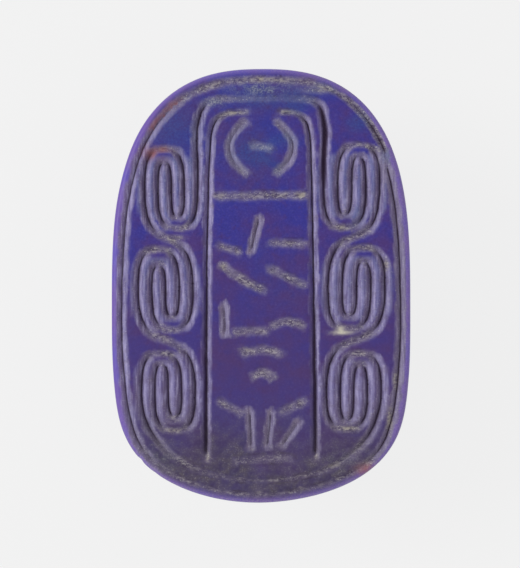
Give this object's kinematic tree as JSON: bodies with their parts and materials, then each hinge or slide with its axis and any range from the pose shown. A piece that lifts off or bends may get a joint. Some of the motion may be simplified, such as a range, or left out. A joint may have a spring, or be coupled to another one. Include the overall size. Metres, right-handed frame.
{
  "type": "scarab amulet",
  "caption": "Beetle-shaped blue stone amulet, pierced lengthwise, with a flat oval base engraved with a spiral scroll border around a column of strokes.",
  "frame": {"origin": "centre of the bounding box at its lowest face: the plane of the small flat on the back that the amulet lies on", "axes": "+Z out of the engraved base face, +Y towards the beetle's head end, +X to the right of the base face as seen from above"},
  "size_m": [0.0138, 0.02, 0.0088],
  "materials": {
    "lapis_lazuli": "polished dark violet-blue stone, with matt grey-lavender cut lines and traces of pale soil in them"
  },
  "bodies": {
    "root": {"scarab": "lapis_lazuli"}
  },
  "joints": []
}
